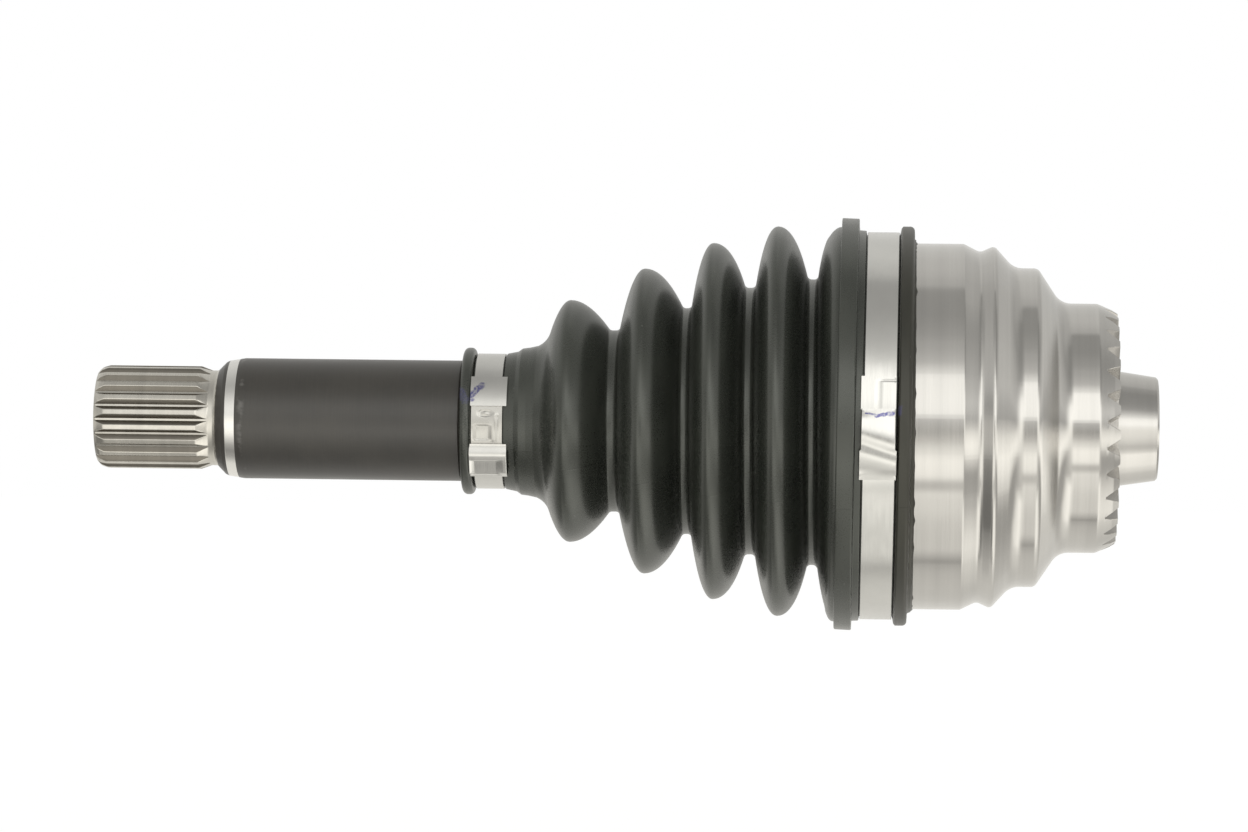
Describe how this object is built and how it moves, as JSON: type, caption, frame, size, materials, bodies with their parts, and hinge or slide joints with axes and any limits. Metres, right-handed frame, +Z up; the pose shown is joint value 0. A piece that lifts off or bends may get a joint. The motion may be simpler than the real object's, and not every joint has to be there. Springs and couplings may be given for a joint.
{
  "type": "drive shaft",
  "caption": "Splined drive shaft stub with a ball-type constant-velocity joint, pleated rubber boot held by strap clamps, and a bell with face teeth and a tapered spigot.",
  "frame": {"origin": "on the shaft's axis, halfway up the face teeth of the hub end", "axes": "+X along the axis from the plug-in spline to the hub end, +Z up"},
  "size_m": [0.2668, 0.1034, 0.1034],
  "materials": {
    "turned_steel": "fine-turned, satin",
    "clamp_steel": "rolled, bright",
    "coated_steel": "dark phosphate coating, matt; spline bare",
    "race_steel": "ground, greased",
    "spring_steel": "oiled",
    "ball_steel": "polished",
    "boot_rubber": "moulded, satin"
  },
  "bodies": {
    "housing": {"joint_housing": "turned_steel", "boot": "boot_rubber", "large_clamp": "clamp_steel"},
    "shaft": {"drive_shaft": "coated_steel", "inner_race": "race_steel", "race_ring": "spring_steel", "small_clamp": "clamp_steel"},
    "cage": {"ball_cage": "race_steel"},
    "ball_1_body": {"ball_1": "ball_steel"},
    "ball_2_body": {"ball_2": "ball_steel"},
    "ball_3_body": {"ball_3": "ball_steel"},
    "ball_4_body": {"ball_4": "ball_steel"},
    "ball_5_body": {"ball_5": "ball_steel"},
    "ball_6_body": {"ball_6": "ball_steel"}
  },
  "joints": [
    {"name": "shaft_swing", "type": "hinge", "parent": "housing", "child": "shaft", "pos_m": [-0.0415, 0, 0], "axis": [0, 0, 1], "range_deg": [-45, 45], "deforming": ["boot"]},
    {"name": "cage_swing", "type": "hinge", "parent": "housing", "child": "cage", "pos_m": [-0.0415, 0, 0], "axis": [0, 0, 1], "range_deg": [-22.6, 22.6]},
    {"name": "ball_1_travel", "type": "hinge", "parent": "housing", "child": "ball_1_body", "pos_m": [-0.0446, 0, 0], "axis": [0, 0, 1], "range_deg": [-22.6, 22.6]},
    {"name": "ball_2_travel", "type": "hinge", "parent": "housing", "child": "ball_2_body", "pos_m": [-0.0446, 0, 0], "axis": [0, -0.866, 0.5], "range_deg": [-11.8, 11.8]},
    {"name": "ball_3_travel", "type": "hinge", "parent": "housing", "child": "ball_3_body", "pos_m": [-0.0446, 0, 0], "axis": [0, 0.866, 0.5], "range_deg": [-11.8, 11.8]},
    {"name": "ball_4_travel", "type": "hinge", "parent": "housing", "child": "ball_4_body", "pos_m": [-0.0446, 0, 0], "axis": [0, 0, 1], "range_deg": [-22.6, 22.6]},
    {"name": "ball_5_travel", "type": "hinge", "parent": "housing", "child": "ball_5_body", "pos_m": [-0.0446, 0, 0], "axis": [0, -0.866, 0.5], "range_deg": [-11.8, 11.8]},
    {"name": "ball_6_travel", "type": "hinge", "parent": "housing", "child": "ball_6_body", "pos_m": [-0.0446, 0, 0], "axis": [0, 0.866, 0.5], "range_deg": [-11.8, 11.8]}
  ],
  "couplings": [
    {"joint": "cage_swing", "follows": "shaft_swing", "ratio": 0.5},
    {"joint": "ball_1_travel", "follows": "shaft_swing", "ratio": 0.5},
    {"joint": "ball_2_travel", "follows": "shaft_swing", "ratio": 0.2587},
    {"joint": "ball_3_travel", "follows": "shaft_swing", "ratio": 0.2587},
    {"joint": "ball_4_travel", "follows": "shaft_swing", "ratio": 0.5},
    {"joint": "ball_5_travel", "follows": "shaft_swing", "ratio": 0.2587},
    {"joint": "ball_6_travel", "follows": "shaft_swing", "ratio": 0.2587}
  ]
}
